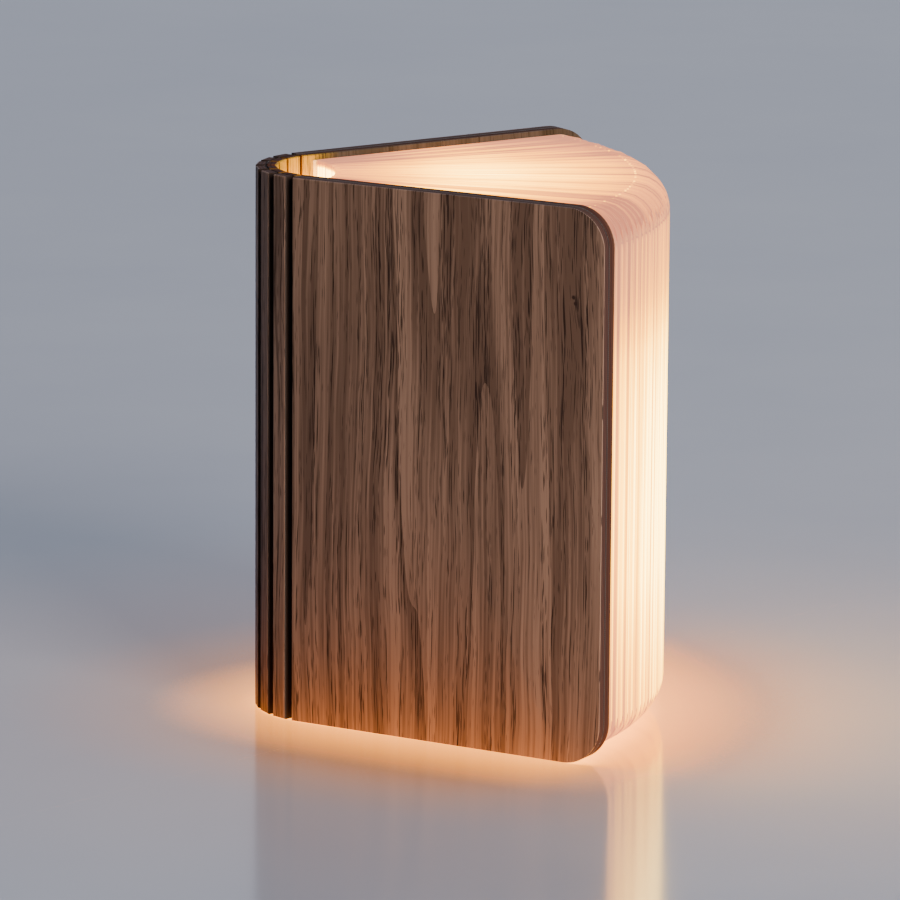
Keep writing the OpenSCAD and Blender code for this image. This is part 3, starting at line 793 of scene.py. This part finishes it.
# Each line gives the painted glow's level along one measure, at shares of the way from its least
# to its most: the sheets by depth and by height, the cut edges by depth, and both by how far
# round they lie
levels = []
for measure, least, most, line in (
    (reach, 0, PAGE_DEPTH,
     ((0, 1.6), (0.006, 1.5), (0.02, 0.5), (0.6, 0.4), (0.94, 0.12), (0.985, 0.24), (1, 0.56))),
    (height, 0, HEIGHT,
     ((0, 0.6), (0.09, 0.72), (0.24, 0.9), (0.32, 0.98), (0.54, 0.98), (0.69, 0.86), (0.76, 0.68),
      (0.84, 0.46), (0.92, 0.36), (1, 0.24))),
    (reach, 0, PAGE_DEPTH,
     ((0, 0.3), (0.05, 0.32), (0.2, 0.52), (0.42, 0.76), (0.65, 0.6), (0.8, 0.46), (0.9, 0.3),
      (1, 0.14))),
    (number, -LAST_PLEAT, LAST_PLEAT,
     ((0, 0.2), (0.1, 0.4), (0.3, 0.5), (0.6, 0.5), (0.78, 0.32), (1, 0.0))),
):
    share = add_node(tree, "ShaderNodeMapRange", {"Value": measure, 1: least, 2: most})
    curve = add_node(tree, "ShaderNodeFloatCurve", {"Value": share})
    points = curve.mapping.curves[0].points
    points[0].location, points[1].location = line[0], line[-1]
    for place in line[1:-1]:
        points.new(*place)
    curve.mapping.update()
    levels.append(curve)
by_depth, by_height, by_cut, by_sheet = levels
sheet = add_node(tree, "ShaderNodeMath", {0: by_depth, 1: by_height}, operation="ADD")
sheet = add_node(tree, "ShaderNodeMath", {0: sheet, 1: 0.5}, operation="SUBTRACT")
level = add_node(tree, "ShaderNodeMix", {0: cut, 2: sheet, 3: by_cut})
level = add_node(tree, "ShaderNodeMath", {0: level, 1: by_sheet}, operation="ADD")

# Fibres and single sheets in the painted glow: broad soft streaks, and hair lines that follow the
# sheets
for scale, detail, low, high, least, most in (
    ((14, 1.3, 9), 3.0, 0.3, 0.7, -0.6, -0.4),
    ((7, 11.0, 4), 1.0, 0.52, 0.62, 0.0, -0.28),
):
    streak_place = add_node(tree, "ShaderNodeMapping", {0: page, "Scale": scale})
    streak = add_node(tree, "ShaderNodeTexNoise",
                      {"Vector": streak_place, "Scale": 1.0, "Detail": detail})
    vary = add_node(tree, "ShaderNodeMapRange",
                    {"Value": streak.outputs["Fac"], 1: low, 2: high, 3: least, 4: most})
    level = add_node(tree, "ShaderNodeMath", {0: level, 1: vary}, operation="ADD")

# The die leaves a nick on every other sheet's cut edge, painted as a lighter glow, and one on each
# crest, painted as a darker glow
in_pleat = add_node(tree, "ShaderNodeMath", {0: number}, operation="FRACT")
for measure, mark, other, least, middle, wide, change in (
    (reach, PAGE_DEPTH - PAGE_CORNER, height, HEIGHT - 2 * PAGE_FOOT, 0.25, 0.25, 0.3),
    (height, HEIGHT - PAGE_FOOT - PAGE_CORNER, reach, PAGE_DEPTH - DIE_MARK, 0.5, 0.2, -0.8),
):
    at_mark = add_node(tree, "ShaderNodeMath", {0: measure, 1: mark, 2: DIE_MARK},
                       operation="COMPARE")
    beyond = add_node(tree, "ShaderNodeMath", {0: other, 1: least}, operation="GREATER_THAN")
    here = add_node(tree, "ShaderNodeMath", {0: in_pleat, 1: middle, 2: wide}, operation="COMPARE")
    nick = at_mark
    for also in (beyond, here):
        nick = add_node(tree, "ShaderNodeMath", {0: nick, 1: also}, operation="MULTIPLY")
    level = add_node(tree, "ShaderNodeMath", {0: nick, 1: change, 2: level},
                     operation="MULTIPLY_ADD")
glow = add_node(tree, "ShaderNodeValToRGB", {"Fac": level})
set_stops(glow, PAPER_GLOW_COLOURS)
feed(shader, {"Emission Color": glow, "Emission Strength": PAPER_GLOW})

# End sheets: the same paper glued flat to the covers, lit only by its neighbours. Its fibres
# mottle it every 1.4 mm
end_paper, tree, shader = new_finish("end_paper", {"Roughness": 0.85, "IOR": 1.45})
place = add_node(tree, "ShaderNodeTexCoord").outputs["Object"]
fibre = add_node(tree, "ShaderNodeTexNoise", {"Vector": place, "Scale": 700.0, "Detail": 3.0})
tint = add_node(tree, "ShaderNodeValToRGB", {"Fac": fibre.outputs["Fac"]})
set_stops(tint, [(0.3, "#D9BE98"), (0.7, "#E4CDAA")])
feed(shader, {"Base Color": tint})
for node in ("front_end_sheet", "back_end_sheet"):
    dress(node, end_paper)

# The pleat: a grid bent to two sheets that meet at an inner fold, each ending on the crest of an
# outer fold. A share of 0 is the inner fold, and 1 or -1 is a crest
pleat_tree, size = new_tree("pleat", {
    "From": "Float", "To": "Float", "Line angle": "Float", "Half pleat": "Float",
    "Fan centre": "Vector", "Inner radius": "Float", "Bulge": "Float", "Half opening": "Float",
    "Depth": "Float", "Fold depth": "Float", "Inner fold": "Float", "Valley foot": "Float",
    "Valley mouth": "Float", "Foot": "Float", "Height": "Float", "Corner": "Float",
    "Thickness": "Float", "Uneven": "Float", "Columns": "Int", "Rows": "Int", "Paper": "Material",
})
INNER_END, OUTER_START = 0.08, 0.66    # where a sheet's inner fold ends and its crest starts
INNER_BULGE = 0.2                # share of the fan's bulge that the inner folds have

grid = add_node(pleat_tree, "GeometryNodeMeshGrid",
                {"Size X": 1.0, "Size Y": 1.0,
                 "Vertices X": size["Columns"], "Vertices Y": size["Rows"]})
at = add_node(pleat_tree, "ShaderNodeSeparateXYZ",
              {0: add_node(pleat_tree, "GeometryNodeInputPosition")}).outputs

# The numbers of each point: what it is called, how it is worked out, and from what. RANGE moves a
# number from one clamped range to another, and NOISE reads the uneven lie of the sheets
known = {socket.name: socket for socket in size} | {"across": at["X"], "up": at["Y"]}
for result, how, *terms in (
    ("run", "RANGE", "across", -0.5, 0.5, "From", "To"),
    ("rise", "ADD", "up", 0.5),
    ("flank", "SIGN", "run"),
    ("part", "ABSOLUTE", "run"),
    # A sheet is a straight run between the turn at its inner fold and the turn at its crest
    ("inner turn", "RANGE", "part", 0.0, INNER_END, 0.0, pi / 2),
    ("outer turn", "RANGE", "part", OUTER_START, 1.0, 0.0, pi / 2),
    ("left to go", "RANGE", "part", INNER_END, OUTER_START, 1.0, 0.0),
    ("left to go", "POWER", "left to go", 2.0),
    ("sheet", "SUBTRACT", 1.0, "left to go"),
    ("inner sine", "SINE", "inner turn"),
    ("inner lack", "COSINE", "inner turn"),
    ("inner lack", "SUBTRACT", 1.0, "inner lack"),
    ("outer sine", "SINE", "outer turn"),
    ("outer lack", "COSINE", "outer turn"),
    ("outer lack", "SUBTRACT", 1.0, "outer lack"),
    # How far to the side it lies, as a share of half a pleat, and so its angle in the fan
    ("opening", "SUBTRACT", "Valley mouth", "Valley foot"),
    ("closing", "SUBTRACT", 1.0, "Valley mouth"),
    ("share", "MULTIPLY", "Valley foot", "inner sine"),
    ("share", "MULTIPLY_ADD", "opening", "sheet", "share"),
    ("share", "MULTIPLY_ADD", "closing", "outer lack", "share"),
    ("side", "MULTIPLY", "flank", "share"),
    ("angle", "MULTIPLY_ADD", "side", "Half pleat", "Line angle"),
    # How far out it lies from the inner fold, and so its radius in the fan
    ("flat", "SUBTRACT", "Depth", "Fold depth"),
    ("flat", "SUBTRACT", "flat", "Inner fold"),
    ("reach", "MULTIPLY", "Inner fold", "inner lack"),
    ("reach", "MULTIPLY_ADD", "flat", "sheet", "reach"),
    ("reach", "MULTIPLY_ADD", "Fold depth", "outer sine", "reach"),
    ("quarter", "MULTIPLY", "angle", pi / 2),
    ("quarter", "DIVIDE", "quarter", "Half opening"),
    ("bulge", "COSINE", "quarter"),
    ("bulge", "MULTIPLY", "Bulge", "bulge"),
    ("bulge share", "RANGE", "reach", 0.0, "Depth", INNER_BULGE, 1.0),
    ("bulge", "MULTIPLY", "bulge", "bulge share"),
    ("radius", "ADD", "Inner radius", "bulge"),
    ("radius", "ADD", "radius", "reach"),
    # How far the rounded corner takes its ends in, and so its height
    ("to edge", "SUBTRACT", "Depth", "reach"),
    ("to edge", "SUBTRACT", "Corner", "to edge"),
    ("to edge", "MAXIMUM", "to edge", 0.0),
    ("to edge", "MULTIPLY", "to edge", "to edge"),
    ("drop", "MULTIPLY", "Corner", "Corner"),
    ("drop", "SUBTRACT", "drop", "to edge"),
    ("drop", "MAXIMUM", "drop", 0.0),
    ("drop", "SQRT", "drop"),
    ("drop", "SUBTRACT", "Corner", "drop"),
    ("tall", "MULTIPLY_ADD", "drop", -2.0, "Height"),
    ("lift", "ADD", "Foot", "drop"),
    ("lift", "MULTIPLY_ADD", "rise", "tall", "lift"),
    ("pleat", "MULTIPLY", "Half pleat", 2.0),
    ("pleat", "DIVIDE", "angle", "pleat"),
    ("uneven", "NOISE", "pleat"),
    ("uneven", "RANGE", "uneven", 0.3, 0.7, -1.0, 1.0),
    ("uneven", "MULTIPLY", "uneven", "rise"),
    ("lift", "MULTIPLY_ADD", "uneven", "Uneven", "lift"),
    # Its place, and its depth under the top cut edge
    ("x", "COSINE", "angle"),
    ("x", "MULTIPLY", "radius", "x"),
    ("y", "SINE", "angle"),
    ("y", "MULTIPLY", "radius", "y"),
    ("below", "SUBTRACT", 1.0, "rise"),
    ("below", "MULTIPLY", "below", "tall"),
):
    terms = [known.get(term, term) for term in terms]
    if how == "RANGE":
        step = add_node(pleat_tree, "ShaderNodeMapRange", dict(zip(("Value", 1, 2, 3, 4), terms)))
    elif how == "NOISE":
        step = add_node(pleat_tree, "ShaderNodeTexNoise",
                        {"W": terms[0], "Scale": UNEVEN_WAVES, "Detail": 2.0},
                        noise_dimensions="1D")
    else:
        step = add_node(pleat_tree, "ShaderNodeMath", dict(enumerate(terms)), operation=how)
    known[result] = step
point = add_node(pleat_tree, "ShaderNodeCombineXYZ",
                 {0: known["x"], 1: known["y"], 2: known["lift"]})
point = add_node(pleat_tree, "ShaderNodeVectorMath", {0: point, 1: size["Fan centre"]})
note = add_node(pleat_tree, "ShaderNodeCombineXYZ",
                {0: known["reach"], 1: known["pleat"], 2: known["lift"]})
noted = add_node(pleat_tree, "GeometryNodeStoreNamedAttribute",
                 {0: grid, "Name": "page", "Value": note},
                 data_type="FLOAT_VECTOR", domain="POINT")
marked = add_node(pleat_tree, "GeometryNodeStoreNamedAttribute",
                  {0: noted, "Name": "below_cut", "Value": known["below"]},
                  data_type="FLOAT", domain="POINT")
bent = add_node(pleat_tree, "GeometryNodeSetPosition", {0: marked, "Position": point})
shell = add_node(pleat_tree, "GeometryNodeExtrudeMesh",
                 {0: bent, "Offset Scale": size["Thickness"], "Individual": False})
smooth = add_node(pleat_tree, "GeometryNodeSetShadeSmooth", {
    0: shell.outputs["Mesh"], "Selection": shell.outputs["Side"], "Shade Smooth": False,
})
cut = add_node(pleat_tree, "GeometryNodeStoreNamedAttribute",
               {0: smooth, "Selection": shell.outputs["Side"], "Name": "rim", "Value": 1.0},
               domain="FACE", data_type="FLOAT")
closed = close_sheet(pleat_tree, bent, cut, SEAM / 2)
end_tree(pleat_tree, closed, size["Paper"])


def hang_pleat(number, first, step, from_side, to_side):
    """One pleat whose inner fold is at a fan step."""
    line_angle = step * fan_step
    pleat = grow(
        f"page_pleat_{number:02d}", pleat_tree,
        **{"from": from_side, "to": to_side}, line_angle=line_angle, half_pleat=half_pleat,
        fan_centre=fan, inner_radius=fan_in, bulge=PAGE_BULGE, half_opening=half_open,
        depth=PAGE_DEPTH, fold_depth=FOLD_DEPTH, inner_fold=INNER_FOLD, valley_foot=VALLEY_FOOT,
        valley_mouth=VALLEY_MOUTH, foot=PAGE_FOOT, height=HEIGHT - 2 * PAGE_FOOT,
        corner=PAGE_CORNER, thickness=PAPER_T, uneven=UNEVEN,
        columns=COLUMNS_PER_SHEET * int(to_side - from_side) + 1, rows=ROWS, paper=paper,
    )
    group = GROUP_STEPS.index(first)
    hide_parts(f"page_pleats_{group + 1}")
    if step == first and group:
        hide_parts(f"page_leaf_{group}")
    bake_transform(pleat)


page_bodies = list(reversed(bodies[FRONT])) + bodies[BACK][1:]
count = 0
for first, last, one, other in zip(GROUP_STEPS, GROUP_STEPS[1:], page_bodies, page_bodies[1:]):
    folds = (last - first) * PLEATS_PER_STEP
    for i in range(folds + 1):
        count += 1
        hang_pleat(count, first, first + i / PLEATS_PER_STEP,
                   -1.0 if i else 0.0, 1.0 if i < folds else 0.0)
